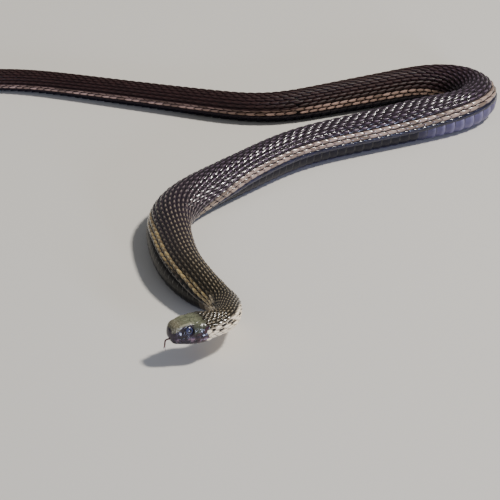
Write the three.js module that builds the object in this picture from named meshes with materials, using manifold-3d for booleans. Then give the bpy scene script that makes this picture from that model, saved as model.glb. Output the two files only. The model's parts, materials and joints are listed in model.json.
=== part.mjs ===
// Garter snake at rest, life size, in millimetres with +Z up.
// The origin is under the middle of the whole animal, at the level that its belly lies on.
import * as THREE from 'three';
import { mergeVertices } from 'three/addons/utils/BufferGeometryUtils.js';
import Module from 'manifold-3d';

const wasm = await Module();
wasm.setup();

// Places along the animal, measured from the snout along its back
const TOTAL_LENGTH = 870;
const HEAD_END = 22;
const NECK_END = 80;
const BODY_CUTS = [150, 220, 290, 348, 405, 480, 575];
const VENT = 680;
const TAIL_CUT = 775;
const CUT_GAP = 0.36;

// The route of the back seen from above: where the snout lies, which way the head runs back from it,
// and the bends, each with its start, its length and its turn in degrees, to the left when positive
const SNOUT = { x: -36, y: -108 };
const HEAD_HEADING = 26;
const BENDS = [
  { start: 15.5, length: 26, turn: 64 },
  { start: 38, length: 26, turn: 33 },
  { start: 50, length: 86.5, turn: -26.5 },
  { start: 113.5, length: 76, turn: -49.5 },
  { start: 204, length: 72, turn: -21 },
  { start: 304.5, length: 99.5, turn: 176 },
  { start: 429, length: 67, turn: -40 },
  { start: 545, length: 140, turn: 70 },
  { start: 690, length: 140, turn: -75 },
  { start: 800, length: 70, turn: 40 },
];
const ROUTE_STEP = 0.5;

// Sizes along the animal as [place, value]: half width, height over the centre line, depth under it
const HALF_WIDTH = [
  [0, 3.6], [3, 4.7], [7.5, 6.0], [12, 7.4], [15.5, 7.8], [20, 6.9], [27, 5.9], [45, 6.0], [57, 7.0],
  [70, 9.0], [85, 10.2], [105, 10.5], [125, 10.2], [150, 9.5], [180, 9.3], [270, 9.3], [310, 9.8],
  [335, 9.2], [365, 8.3], [400, 7.8], [440, 7.3], [475, 6.7], [520, 6.0], [600, 5.2], [680, 4.3],
  [780, 2.6], [870, 0.6],
];
const HEIGHT = [
  [0, 4.0], [3, 4.6], [7.5, 5.3], [12, 5.5], [16, 5.4], [20, 5.2], [27, 5.3], [45, 5.5], [57, 6.0],
  [70, 7.4], [85, 8.0], [125, 8.1], [150, 8.6], [180, 8.9], [270, 8.9], [310, 9.4],
  [335, 8.8], [365, 8.1], [400, 7.6], [440, 7.1], [475, 6.5], [520, 5.8], [600, 5.0], [680, 4.2],
  [780, 2.5], [870, 0.6],
];
const DEPTH = [
  [0, 3.9], [3, 4.8], [7.5, 5.9], [12, 6.3], [16, 6.1], [20, 5.7], [27, 5.4], [45, 5.5], [57, 6.0],
  [70, 7.4], [85, 8.0], [125, 8.1], [150, 8.6], [180, 8.9], [270, 8.9], [310, 9.4],
  [335, 8.8], [365, 8.1], [400, 7.6], [440, 7.1], [475, 6.5], [520, 5.8], [600, 5.0], [680, 4.2],
  [780, 2.5], [870, 0.6],
];

// How square the section is over and under the centre line: 2 is an ellipse
const SQUARE_OVER = [[0, 2.6], [7.5, 2.9], [15, 2.7], [24, 2.2], [40, 2.05]];
const SQUARE_UNDER = [[0, 2.2], [12, 2.3], [24, 2.1], [40, 2.05]];

// How far the body is rolled about its own length, in degrees, with its left side up when positive
const ROLL = [
  [0, 0], [20, 0], [32, 20], [42, 13], [60, -35], [82, -62], [122, -62], [165, -14], [205, 31],
  [300, 31], [335, 45], [352, 38], [385, -6], [410, -12], [530, -12], [620, 0], [870, 0],
];

// The head is held clear of the ground, and the neck comes down from it
const HEAD_CENTRE_HEIGHT = 14;
const DESCENT_START = 20;
const DESCENT_END = 80;
const RESTING_SHARE = 0.92;

// The snout is rounded over this length, and the chin is set back under it
const SNOUT_ROUNDING = 2.8;
const CHIN_SETBACK = { share: 0.25, length: 2.2 };

// Raised and sunken forms of the head: place, angle from the crown, reach along and around, height
const HEAD_FORMS = {
  brow: { at: 7.4, angle: 41, along: 2.8, around: 10, height: 0.55 },
  snoutRidge: { at: 3.4, angle: 43, along: 2.2, around: 9, height: 0.3 },
  lore: { at: 4.4, angle: 68, along: 1.9, around: 14, height: -0.35 },
  orbit: { at: 8, angle: 66, along: 2.3, around: 13, height: -0.4 },
  temple: { at: 14, angle: 72, along: 3.6, around: 22, height: 0.3 },
  cheek: { at: 14.5, angle: 108, along: 3.6, around: 20, height: 0.35 },
  chinGroove: { at: 7, angle: 180, along: 5, around: 7, height: -0.3 },
};

// The mouth: its height against the centre line along the head, its corner and the lips beside it
const MOUTH_LINE = [[0, -2.5], [4, -2.9], [8.5, -2.7], [13, -2.0], [17.5, -0.8]];
const MOUTH_CORNER = 17.4;
const MOUTH_GAP = 0.35;
const LIP = { offset: 0.95, spread: 0.75, height: 0.25 };

// Eyes, nostrils and tongue
const EYE = { at: 8, side: 4.1, up: 2.0, radius: 2.2 };
const SOCKET_GAP = 0.3;
const NOSTRIL = { at: 1.75, angle: 58, radius: 0.45, sunk: 0.1 };
const TONGUE = { width: 0.43, thickness: 0.32, root: 2.1, length: 5.6, fork: 3.3, spread: 1.1, level: -2.6 };
const TONGUE_BEND = { radius: 1.15, hang: 85 };
const TONGUE_TIP = { slim: 0.72, length: 1.9, thinned: 0.72 };
const TONGUE_BORE = { radius: 0.76, start: -2, end: 2.5 };

// Belly plates: their length on the solid, their raised hind edge and how far up the sides they reach
const PLATES = { start: 24, pitch: 7, rise: 0.45, flatFrom: 0.45, edgeAt: 0.9, halfAngle: 54, tailHalfAngle: 48 };

// Facets
const BODY_SIDES = 16;
const HEAD_SIDES = 36;
const HEAD_RINGS = 30;
const HEAD_CROWDING = 1.6;
const NOSE_START = 0.03;
const EYE_SEGMENTS = 18;
const EYE_RINGS = 12;
const NOSTRIL_SEGMENTS = 10;
const NOSTRIL_RINGS = 8;
const BORE_SIDES = 12;
const TONGUE_SIDES = 8;
const TONGUE_RINGS = 14;
const TONGUE_SAMPLE = 0.05;

// The sheet that parts the jaws reaches past the head by these
const MOUTH_SHEET = { front: -2, below: -12, halfWidth: 12, step: 0.8 };

function radians(degrees) {
  return THREE.MathUtils.degToRad(degrees);
}

function smooth(value, low, high) {
  return THREE.MathUtils.smoothstep(value, low, high);
}

// A smooth curve through [place, value] pairs
function slopeAt(knots, index) {
  const before = knots[Math.max(index - 1, 0)];
  const after = knots[Math.min(index + 1, knots.length - 1)];
  return (after[1] - before[1]) / (after[0] - before[0]);
}

function through(knots, place) {
  const last = knots.length - 1;
  const held = THREE.MathUtils.clamp(place, knots[0][0], knots[last][0]);
  let index = 0;
  while (index < last - 1 && knots[index + 1][0] < held) {
    index += 1;
  }
  const [start, from] = knots[index];
  const [end, to] = knots[index + 1];
  const span = end - start;
  const t = (held - start) / span;
  const t2 = t * t;
  const t3 = t2 * t;
  const leave = slopeAt(knots, index) * span;
  const arrive = slopeAt(knots, index + 1) * span;
  return (2 * t3 - 3 * t2 + 1) * from + (t3 - 2 * t2 + t) * leave + (3 * t2 - 2 * t3) * to + (t3 - t2) * arrive;
}

// The route, walked once in short steps
function headingAt(place) {
  let degrees = HEAD_HEADING;
  for (const bend of BENDS) {
    const t = THREE.MathUtils.clamp((place - bend.start) / bend.length, 0, 1);
    degrees += bend.turn * (t - Math.sin(2 * Math.PI * t) / (2 * Math.PI));
  }
  return radians(degrees);
}

const route = [new THREE.Vector2(SNOUT.x, SNOUT.y)];
for (let place = 0; place < TOTAL_LENGTH; place += ROUTE_STEP) {
  const heading = headingAt(place + ROUTE_STEP / 2);
  const last = route[route.length - 1];
  route.push(new THREE.Vector2(last.x + ROUTE_STEP * Math.cos(heading), last.y + ROUTE_STEP * Math.sin(heading)));
}

function routeAt(place) {
  const index = Math.min(Math.floor(place / ROUTE_STEP), route.length - 2);
  return route[index].clone().lerp(route[index + 1], place / ROUTE_STEP - index);
}

// Height of the centre line over the ground
function centreHeight(place) {
  const resting = RESTING_SHARE * through(DEPTH, place);
  const down = smooth(place, DESCENT_START, DESCENT_END);
  return HEAD_CENTRE_HEIGHT * (1 - down) + resting * down;
}

// Share of the full section that the rounded snout leaves, over and under the centre line
function snoutShare(place) {
  const back = THREE.MathUtils.clamp(place / SNOUT_ROUNDING, 0, 1);
  return Math.sqrt(1 - (1 - back) ** 2);
}

function chinShare(place) {
  return 1 - CHIN_SETBACK.share * (1 - smooth(place, 0, CHIN_SETBACK.length));
}

function bell(distance) {
  return Math.exp(-distance * distance);
}

// Height that the head's forms add at a place and an angle from the crown
function headForms(place, angle) {
  let added = 0;
  for (const form of Object.values(HEAD_FORMS)) {
    const along = bell((place - form.at) / form.along);
    added += form.height * along * bell((angle - form.angle) / form.around);
  }
  return added;
}

function lips(place, level) {
  const from = level - through(MOUTH_LINE, place);
  const fade = 1 - smooth(place, MOUTH_CORNER - 2, MOUTH_CORNER + 1);
  const pair = bell((from - LIP.offset) / LIP.spread) + bell((from + LIP.offset) / LIP.spread);
  return LIP.height * fade * pair;
}

// Depth of the belly plates under the raised edge, and how much of it an angle round the body takes
function plateSink(place) {
  if (place < PLATES.start) {
    return 0;
  }
  const t = ((place - PLATES.start) / PLATES.pitch) % 1;
  if (t < PLATES.flatFrom) {
    return PLATES.rise * (1 - t / PLATES.flatFrom);
  }
  if (t < PLATES.edgeAt) {
    return 0;
  }
  return PLATES.rise * (t - PLATES.edgeAt) / (1 - PLATES.edgeAt);
}

function bellyShare(place, angle) {
  const reach = place < VENT ? PLATES.halfAngle : PLATES.tailHalfAngle;
  const fromBelly = 180 - angle;
  return fromBelly < reach ? 1 : 0;
}

// A point of the outside: place along the body, angle from mid back towards the left, share of the radius
function outside(place, around, share = 1) {
  const turned = around - radians(through(ROLL, place));
  const sine = Math.sin(turned);
  const cosine = Math.cos(turned);
  const nose = snoutShare(place);
  const halfWidth = through(HALF_WIDTH, place) * nose;
  const over = cosine > 0;
  const tall = over ? through(HEIGHT, place) * nose : through(DEPTH, place) * nose * chinShare(place);
  const power = through(over ? SQUARE_OVER : SQUARE_UNDER, place);
  const wide = (Math.abs(sine) / halfWidth) ** power;
  const high = (Math.abs(cosine) / tall) ** power;
  let radius = (wide + high) ** (-1 / power);
  const fromBack = Math.abs(THREE.MathUtils.radToDeg(Math.atan2(Math.sin(around), Math.cos(around))));
  if (place < DESCENT_END) {
    radius += nose * headForms(place, fromBack);
    radius += nose * lips(place, radius * cosine);
  }
  const sink = plateSink(place) * bellyShare(place, fromBack);
  radius -= sink;
  const height = centreHeight(place);
  const sideways = share * radius * sine;
  const upwards = share * Math.max(radius * cosine, sink - height);
  const heading = headingAt(place);
  const centre = routeAt(place);
  return new THREE.Vector3(
    centre.x + sideways * Math.sin(heading),
    centre.y - sideways * Math.cos(heading),
    height + upwards,
  );
}

// A closed skin made from a unit cylinder: its height runs from the first to the last of the places,
// its rim runs round the body, and its caps close the two ends
function wrapped(places, sides, pointAt) {
  const rings = places.length - 1;
  const geometry = new THREE.CylinderGeometry(1, 1, rings, sides, rings);
  geometry.deleteAttribute('normal');
  geometry.deleteAttribute('uv');
  const position = geometry.getAttribute('position');
  for (let index = 0; index < position.count; index += 1) {
    const ring = Math.round(rings / 2 - position.getY(index));
    const across = position.getX(index);
    const deep = position.getZ(index);
    const share = Math.min(Math.hypot(across, deep), 1);
    const point = pointAt(places[ring], Math.atan2(-across, deep), share);
    position.setXYZ(index, point.x, point.y, point.z);
  }
  return mergeVertices(geometry, 1e-4);
}

// Solids and their joins and cuts
function solidOf(geometry) {
  const merged = mergeVertices(geometry, 1e-4);
  const vertProperties = new Float32Array(merged.getAttribute('position').array);
  const triVerts = new Uint32Array(merged.index.array);
  return new wasm.Manifold(new wasm.Mesh({ numProp: 3, vertProperties, triVerts }));
}

function bare(geometry) {
  geometry.deleteAttribute('normal');
  geometry.deleteAttribute('uv');
  return geometry;
}

function geometryOf(solid) {
  const mesh = solid.getMesh();
  const geometry = new THREE.BufferGeometry();
  geometry.setAttribute('position', new THREE.BufferAttribute(new Float32Array(mesh.vertProperties), 3));
  geometry.setIndex(new THREE.BufferAttribute(new Uint32Array(mesh.triVerts), 1));
  return geometry;
}

function bySize(solid) {
  return solid.decompose().sort((first, second) => second.volume() - first.volume());
}

function largest(solid) {
  return bySize(solid)[0];
}

// The head's own frame: x runs back from the snout, y to the right, z up from its centre line
const headFrame = new THREE.Matrix4().makeBasis(
  new THREE.Vector3(Math.cos(radians(HEAD_HEADING)), Math.sin(radians(HEAD_HEADING)), 0),
  new THREE.Vector3(-Math.sin(radians(HEAD_HEADING)), Math.cos(radians(HEAD_HEADING)), 0),
  new THREE.Vector3(0, 0, 1),
).setPosition(SNOUT.x, SNOUT.y, HEAD_CENTRE_HEIGHT);

function inHead(back, left, up) {
  return new THREE.Vector3(back, -left, up).applyMatrix4(headFrame);
}

function ball(radius, centre, segments, rings) {
  const geometry = new THREE.SphereGeometry(radius, segments, rings);
  geometry.translate(centre.x, centre.y, centre.z);
  return bare(geometry);
}

// The head's outside, before the mouth, sockets and nostrils are cut
function headBlank() {
  const places = [];
  for (let ring = 0; ring <= HEAD_RINGS; ring += 1) {
    const share = (ring / HEAD_RINGS) ** HEAD_CROWDING;
    places.push(NOSE_START + share * (HEAD_END - CUT_GAP / 2 - NOSE_START));
  }
  return solidOf(wrapped(places, HEAD_SIDES, outside));
}

// A thin sheet along the mouth that turns down behind its corner, so that it frees the lower jaw
function mouthCut() {
  const { front, below, halfWidth, step } = MOUTH_SHEET;
  const shape = new THREE.Shape();
  shape.moveTo(front, through(MOUTH_LINE, 0) + MOUTH_GAP / 2);
  for (let place = 0; place < MOUTH_CORNER; place += step) {
    shape.lineTo(place, through(MOUTH_LINE, place) + MOUTH_GAP / 2);
  }
  shape.lineTo(MOUTH_CORNER, through(MOUTH_LINE, MOUTH_CORNER) + MOUTH_GAP / 2);
  shape.lineTo(MOUTH_CORNER, below);
  shape.lineTo(MOUTH_CORNER - MOUTH_GAP, below);
  shape.lineTo(MOUTH_CORNER - MOUTH_GAP, through(MOUTH_LINE, MOUTH_CORNER - MOUTH_GAP) - MOUTH_GAP / 2);
  for (let place = MOUTH_CORNER - step; place > 0; place -= step) {
    shape.lineTo(place, through(MOUTH_LINE, place) - MOUTH_GAP / 2);
  }
  shape.lineTo(front, through(MOUTH_LINE, 0) - MOUTH_GAP / 2);
  const geometry = new THREE.ExtrudeGeometry(shape, { depth: 2 * halfWidth, bevelEnabled: false });
  geometry.translate(0, 0, -halfWidth);
  geometry.rotateX(Math.PI / 2);
  geometry.applyMatrix4(headFrame);
  return solidOf(bare(geometry));
}

// The round way out for the tongue, under the middle of the snout
function tongueBore() {
  const { radius, start, end } = TONGUE_BORE;
  const geometry = new THREE.CylinderGeometry(radius, radius, end - start, BORE_SIDES);
  geometry.rotateZ(Math.PI / 2);
  geometry.translate((start + end) / 2, 0, TONGUE.level);
  geometry.applyMatrix4(headFrame);
  return solidOf(bare(geometry));
}

function eyeCentre(side) {
  return inHead(EYE.at, side * EYE.side, EYE.up);
}

function headPieces() {
  let solid = headBlank();
  for (const side of [1, -1]) {
    solid = solid.subtract(solidOf(ball(EYE.radius + SOCKET_GAP, eyeCentre(side), EYE_SEGMENTS, EYE_RINGS)));
    const rim = outside(NOSTRIL.at, side * radians(NOSTRIL.angle));
    const middle = outside(NOSTRIL.at, side * radians(NOSTRIL.angle), 0);
    const pit = rim.lerp(middle, NOSTRIL.sunk / rim.distanceTo(middle));
    solid = solid.subtract(solidOf(ball(NOSTRIL.radius, pit, NOSTRIL_SEGMENTS, NOSTRIL_RINGS)));
  }
  solid = solid.subtract(tongueBore()).subtract(mouthCut());
  const pieces = bySize(solid);
  return { head: geometryOf(pieces[0]), lowerJaw: geometryOf(pieces[1]) };
}

// The tongue leaves the mouth level, bends down and parts into two tips
function tongueCentre(along, fork) {
  const out = Math.max(along - TONGUE.root, 0);
  const bent = Math.min(out / TONGUE_BEND.radius, radians(TONGUE_BEND.hang));
  const straight = out - bent * TONGUE_BEND.radius;
  const ahead = TONGUE_BEND.radius * Math.sin(bent) + straight * Math.cos(bent);
  const down = TONGUE_BEND.radius * (1 - Math.cos(bent)) + straight * Math.sin(bent);
  const inside = Math.max(TONGUE.root - along, 0);
  const apart = TONGUE.spread * Math.max(out - TONGUE.fork, 0) / (TONGUE.length - TONGUE.fork);
  return new THREE.Vector3(inside - ahead, fork * apart, TONGUE.level - down);
}

function tongueProng(fork) {
  const places = [];
  const total = TONGUE.root + TONGUE.length;
  for (let ring = 0; ring <= TONGUE_RINGS; ring += 1) {
    places.push(total * ring / TONGUE_RINGS);
  }
  const pointAt = (along, around, share) => {
    const centre = tongueCentre(along, fork);
    const slim = along > TONGUE.root + TONGUE.fork ? TONGUE_TIP.slim : 1;
    const taper = slim * (1 - TONGUE_TIP.thinned * smooth(along, total - TONGUE_TIP.length, total));
    const before = tongueCentre(along - TONGUE_SAMPLE, fork);
    const ahead = tongueCentre(along + TONGUE_SAMPLE, fork).sub(before).normalize();
    const side = new THREE.Vector3(0, 1, 0);
    const up = new THREE.Vector3().crossVectors(side, ahead).normalize();
    const point = centre.clone();
    point.addScaledVector(side, share * taper * TONGUE.width * Math.sin(around));
    point.addScaledVector(up, share * taper * TONGUE.thickness * Math.cos(around));
    return point.applyMatrix4(headFrame);
  };
  return solidOf(wrapped(places, TONGUE_SIDES, pointAt));
}

function tongue() {
  return geometryOf(largest(tongueProng(1).add(tongueProng(-1))));
}

// Ring places of a length of the body, three to each belly plate
function ringPlaces(start, end) {
  const places = [start];
  const nearest = PLATES.pitch * 0.06;
  const first = Math.floor((start - PLATES.start) / PLATES.pitch);
  const last = Math.ceil((end - PLATES.start) / PLATES.pitch);
  for (let plate = first; plate <= last; plate += 1) {
    for (const t of [0, PLATES.flatFrom, PLATES.edgeAt]) {
      const place = PLATES.start + (plate + t) * PLATES.pitch;
      if (place > start + nearest && place < end - nearest) {
        places.push(place);
      }
    }
  }
  places.push(end);
  return places;
}

function bodyLength(start, end) {
  const last = end < TOTAL_LENGTH ? end - CUT_GAP / 2 : end;
  return wrapped(ringPlaces(start + CUT_GAP / 2, last), BODY_SIDES, outside);
}

// Finishes
const FINISHES = {
  crown: { color: 0x4a4a34, roughness: 0.42 },
  jaw: { color: 0x4b3440, roughness: 0.4 },
  eye: { color: 0x0d0b12, roughness: 0.08 },
  tongue: { color: 0x4a1a26, roughness: 0.35 },
  neck: { color: 0x4a4236, roughness: 0.45 },
  back: { color: 0x2b2228, roughness: 0.35 },
};

const snake = new THREE.Group();

function place(name, geometry, finish) {
  const material = new THREE.MeshStandardMaterial({ ...FINISHES[finish], metalness: 0 });
  const mesh = new THREE.Mesh(geometry, material);
  mesh.name = name;
  snake.add(mesh);
}

const { head, lowerJaw } = headPieces();
place('head', head, 'crown');
place('lower_jaw', lowerJaw, 'jaw');
place('eye_left', ball(EYE.radius, eyeCentre(1), EYE_SEGMENTS, EYE_RINGS), 'eye');
place('eye_right', ball(EYE.radius, eyeCentre(-1), EYE_SEGMENTS, EYE_RINGS), 'eye');
place('tongue', tongue(), 'tongue');
place('neck', bodyLength(HEAD_END, NECK_END), 'neck');
const bodyEnds = [NECK_END, ...BODY_CUTS, VENT];
for (let length = 1; length < bodyEnds.length; length += 1) {
  place(`body_${length}`, bodyLength(bodyEnds[length - 1], bodyEnds[length]), 'back');
}
place('tail_base', bodyLength(VENT, TAIL_CUT), 'back');
place('tail_tip', bodyLength(TAIL_CUT, TOTAL_LENGTH), 'back');

// The origin goes under the middle of the animal
const box = new THREE.Box3().setFromObject(snake);
const middle = box.getCenter(new THREE.Vector3());
snake.position.set(-middle.x, -middle.y, -box.min.z);

export default snake;
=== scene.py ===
# %% [markdown]
# # A garter snake at rest
# The frame holds the solid lengths of the snake. This script lays a living skin over them: one unbroken
# skin from snout to tail, a coat of keeled scales, broad belly plates, a shielded head, eyes and a tongue.
# Sizes are in millimetres until a mesh is made.

# %% Start from the frame
import functools
import json
import math
from types import SimpleNamespace as Named

import bmesh
import bpy
import numpy as np
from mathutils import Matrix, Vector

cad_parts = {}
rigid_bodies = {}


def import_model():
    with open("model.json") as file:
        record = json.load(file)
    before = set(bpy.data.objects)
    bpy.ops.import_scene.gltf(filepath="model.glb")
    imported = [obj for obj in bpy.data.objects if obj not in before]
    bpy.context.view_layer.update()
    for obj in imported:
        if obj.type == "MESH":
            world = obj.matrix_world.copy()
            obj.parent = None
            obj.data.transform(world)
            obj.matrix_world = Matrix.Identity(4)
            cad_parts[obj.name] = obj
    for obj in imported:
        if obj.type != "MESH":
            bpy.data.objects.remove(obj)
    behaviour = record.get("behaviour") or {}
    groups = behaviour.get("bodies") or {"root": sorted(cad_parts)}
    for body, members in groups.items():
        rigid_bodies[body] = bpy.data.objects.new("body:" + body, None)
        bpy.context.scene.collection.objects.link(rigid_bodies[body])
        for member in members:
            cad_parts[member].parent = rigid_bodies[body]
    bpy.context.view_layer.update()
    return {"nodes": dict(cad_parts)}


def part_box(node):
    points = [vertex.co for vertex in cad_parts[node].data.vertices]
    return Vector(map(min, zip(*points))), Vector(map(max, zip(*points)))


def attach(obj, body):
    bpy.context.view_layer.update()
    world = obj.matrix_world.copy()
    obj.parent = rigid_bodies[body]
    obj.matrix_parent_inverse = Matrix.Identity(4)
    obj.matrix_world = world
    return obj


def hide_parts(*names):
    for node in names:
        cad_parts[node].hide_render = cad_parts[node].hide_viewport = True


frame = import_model()
MM = 0.001
print("solids:", len(frame["nodes"]))

# %% [markdown]
# ## The route of the back
# A snake's pose is a single line with a thickness. The line is walked in short steps: it starts at the
# snout and turns a little at every step, and each bend says where it starts, how long it is and how far it
# turns. Easing every bend in and out keeps the curve free of corners, as a spine is.

# %% Walk the route
LENGTH = 870.0
SNOUT = np.array([-36.0, -108.0])
HEAD_HEADING = 26.0
BENDS = [
    (15.5, 26, 64), (38, 26, 33), (50, 86.5, -26.5), (113.5, 76, -49.5), (204, 72, -21),
    (304.5, 99.5, 176), (429, 67, -40), (545, 140, 70), (690, 140, -75), (800, 70, 40),
]
ROUTE_STEP = 0.5


def heading_at(place):
    degrees = np.full_like(place, HEAD_HEADING)
    for start, length, turn in BENDS:
        t = np.clip((place - start) / length, 0, 1)
        degrees = degrees + turn * (t - np.sin(2 * np.pi * t) / (2 * np.pi))
    return np.radians(degrees)


steps = np.arange(0, LENGTH, ROUTE_STEP)
step_heading = heading_at(steps + ROUTE_STEP / 2)
route_places = np.append(steps, LENGTH)
route_x = SNOUT[0] + ROUTE_STEP * np.insert(np.cumsum(np.cos(step_heading)), 0, 0)
route_y = SNOUT[1] + ROUTE_STEP * np.insert(np.cumsum(np.sin(step_heading)), 0, 0)
print("tail tip is", round(route_x.min() - SNOUT[0]), "mm to the side of the snout")

# %% [markdown]
# ## The section of the body
# At every place the body has a half width, a height over its centre line and a depth under it. The section
# is a soft square on the head and close to an ellipse elsewhere, pressed flat where it meets the ground.
# The roll says how far the skin is twisted round that section, because a snake seldom lies level.

# %% Sizes along the animal
HALF_WIDTH = [
    (0, 3.6), (3, 4.7), (7.5, 6.0), (12, 7.4), (15.5, 7.8), (20, 6.9), (27, 5.9), (45, 6.0), (57, 7.0),
    (70, 9.0), (85, 10.2), (105, 10.5), (125, 10.2), (150, 9.5), (180, 9.3), (270, 9.3), (310, 9.8),
    (335, 9.2), (365, 8.3), (400, 7.8), (440, 7.3), (475, 6.7), (520, 6.0), (600, 5.2), (680, 4.3),
    (780, 2.6), (870, 0.6),
]
BODY_HEIGHT = [
    (27, 5.3), (45, 5.5), (57, 6.0), (70, 7.4), (85, 8.0), (125, 8.1), (150, 8.6), (180, 8.9),
    (270, 8.9), (310, 9.4), (335, 8.8), (365, 8.1), (400, 7.6), (440, 7.1), (475, 6.5), (520, 5.8),
    (600, 5.0), (680, 4.2), (780, 2.5), (870, 0.6),
]
HEIGHT = [(0, 4.0), (3, 4.6), (7.5, 5.3), (12, 5.5), (16, 5.4), (20, 5.2)] + BODY_HEIGHT
DEPTH = [(0, 3.9), (3, 4.8), (7.5, 5.9), (12, 6.3), (16, 6.1), (20, 5.7), (27, 5.4)] + BODY_HEIGHT[1:]
SQUARE_OVER = [(0, 2.6), (7.5, 2.9), (15, 2.7), (24, 2.2), (40, 2.05)]
SQUARE_UNDER = [(0, 2.2), (12, 2.3), (24, 2.1), (40, 2.05)]
ROLL = [
    (0, 0), (20, 0), (32, 20), (42, 13), (60, -35), (82, -62), (122, -62), (165, -14), (205, 31),
    (300, 31), (335, 45), (352, 38), (385, -6), (410, -12), (530, -12), (620, 0), (870, 0),
]
HEAD_CENTRE_HEIGHT = 14.0
DESCENT = (20, 80)
RESTING_SHARE = 0.92
SNOUT_ROUNDING = 2.8
NEARLY_NOTHING = 1e-8
CHIN_SETBACK = (0.25, 2.2)
# Raised and sunken forms: place, angle from the crown, reach along, reach around, height
HEAD_FORMS = {
    "brow": (7.4, 41, 2.8, 10, 0.55),
    "snout ridge": (3.4, 43, 2.2, 9, 0.3),
    "lore": (4.4, 68, 1.9, 14, -0.35),
    "orbit": (8, 66, 2.3, 13, -0.4),
    "temple": (14, 72, 3.6, 22, 0.3),
    "cheek": (14.5, 108, 3.6, 20, 0.35),
    "chin groove": (7, 180, 5, 7, -0.3),
}
MOUTH_LINE = [(0, -2.5), (4, -2.9), (8.5, -2.7), (13, -2.0), (17.5, -0.8)]
MOUTH_CORNER = 17.4
LIP = Named(offset=0.95, spread=0.75, height=0.25, fade=(-2, 1))
EYE = Named(at=8.0, side=4.1, up=2.0)


def through(knots, place):
    """A smooth curve through (place, value) pairs."""
    places, values = np.array(knots, float).T
    slopes = np.empty_like(values)
    slopes[1:-1] = (values[2:] - values[:-2]) / (places[2:] - places[:-2])
    slopes[0] = (values[1] - values[0]) / (places[1] - places[0])
    slopes[-1] = (values[-1] - values[-2]) / (places[-1] - places[-2])
    held = np.clip(place, places[0], places[-1])
    index = np.clip(np.searchsorted(places, held) - 1, 0, len(places) - 2)
    span = places[index + 1] - places[index]
    t = (held - places[index]) / span
    start = (2 * t**3 - 3 * t**2 + 1) * values[index] + (t**3 - 2 * t**2 + t) * slopes[index] * span
    end = (3 * t**2 - 2 * t**3) * values[index + 1] + (t**3 - t**2) * slopes[index + 1] * span
    return start + end


def smooth(value, low, high):
    t = np.clip((value - low) / (high - low), 0, 1)
    return t * t * (3 - 2 * t)


def bell(distance):
    return np.exp(-distance * distance)


def turn_of(around):
    """Degrees from the middle of the back, on either side."""
    return np.degrees(np.abs(around))


print("widest body:", 2 * max(value for _, value in HALF_WIDTH), "mm")

# %% [markdown]
# ## From place and angle to a point
# Every piece of the coat is drawn on a flat map first: how far along the body, how far round it from the
# middle of the back, and how far above the skin. One function rolls that map up onto the animal, which
# keeps the scales even through the tightest bend.

# %% Roll the map onto the body
def centre_height(place):
    resting = RESTING_SHARE * through(DEPTH, place)
    down = smooth(place, *DESCENT)
    return HEAD_CENTRE_HEIGHT * (1 - down) + resting * down


def section(place, around):
    """Radius of the bare outline, and the sine and cosine of its angle from straight up."""
    turned = around - np.radians(through(ROLL, place))
    sine = np.sin(turned)
    cosine = np.cos(turned)
    back = np.clip(place / SNOUT_ROUNDING, 0, 1)
    nose = np.sqrt(np.maximum(1 - (1 - back) ** 2, NEARLY_NOTHING))
    chin = 1 - CHIN_SETBACK[0] * (1 - smooth(place, 0, CHIN_SETBACK[1]))
    over = cosine > 0
    half_width = through(HALF_WIDTH, place) * nose
    tall = np.where(over, through(HEIGHT, place), through(DEPTH, place) * chin) * nose
    power = np.where(over, through(SQUARE_OVER, place), through(SQUARE_UNDER, place))
    radius = ((np.abs(sine) / half_width) ** power + (np.abs(cosine) / tall) ** power) ** (-1 / power)
    angle = turn_of(around)
    for at, middle, along, wide, height in HEAD_FORMS.values():
        radius = radius + nose * height * bell((place - at) / along) * bell((angle - middle) / wide)
    below = radius * cosine - through(MOUTH_LINE, place)
    fade = 1 - smooth(place - MOUTH_CORNER, *LIP.fade)
    pair = bell((below - LIP.offset) / LIP.spread) + bell((below + LIP.offset) / LIP.spread)
    radius = radius + nose * LIP.height * fade * pair
    return radius, sine, cosine


def head_point(back, left, up):
    """A point of the head's own frame, on the route's plan."""
    heading = math.radians(HEAD_HEADING)
    ahead = np.array([math.cos(heading), math.sin(heading), 0])
    side = np.array([math.sin(heading), -math.cos(heading), 0])
    start = np.array([SNOUT[0], SNOUT[1], HEAD_CENTRE_HEIGHT])
    return start + back * ahead + left * side + np.array([0, 0, up])


eye_low, eye_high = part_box("eye_left")
eye_in_frame = (np.array(eye_low) + np.array(eye_high)) / 2 / MM
PLAN_SHIFT = eye_in_frame - head_point(EYE.at, EYE.side, EYE.up)
# The coat's outermost points rest this high, and what lies deeper in the coat rests higher
GROUND = 0.02
COAT_RELIEF = 0.3
SKIN_SINK = 0.28
SINK_START = (17.0, 20.0)


def skin_sink(place):
    """How deep the skin lies inside the solids, to make room for the scales."""
    return SKIN_SINK * smooth(place, *SINK_START)


def outside(place, around, lift):
    """Points of the animal in metres: place along it, angle round it, and lift over its outline."""
    radius, sine, cosine = section(place, around)
    radius = radius + lift
    height = centre_height(place)
    heading = heading_at(place)
    sideways = radius * sine
    resting = GROUND + np.maximum(COAT_RELIEF - lift, 0)
    upwards = np.maximum(radius * cosine, resting - height)
    x = np.interp(place, route_places, route_x) + sideways * np.sin(heading)
    y = np.interp(place, route_places, route_y) - sideways * np.cos(heading)
    points = np.stack([x, y, height + upwards], -1) + PLAN_SHIFT
    return points * MM


print("the plan is shifted by", np.round(PLAN_SHIFT, 2), "mm to stand on the frame")

# %% [markdown]
# ## Shader maths as plain sums
# A marking is arithmetic on how far along and how far round a point lies. A small class lets that be
# written as sums, and each sum becomes a Math node.

# %% A wire and a paint box
# A Mix node has sockets for each kind of value, and these are the ones for colours
MIX_SOCKETS = (0, 6, 7)
MIX_RESULT = 2


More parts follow.
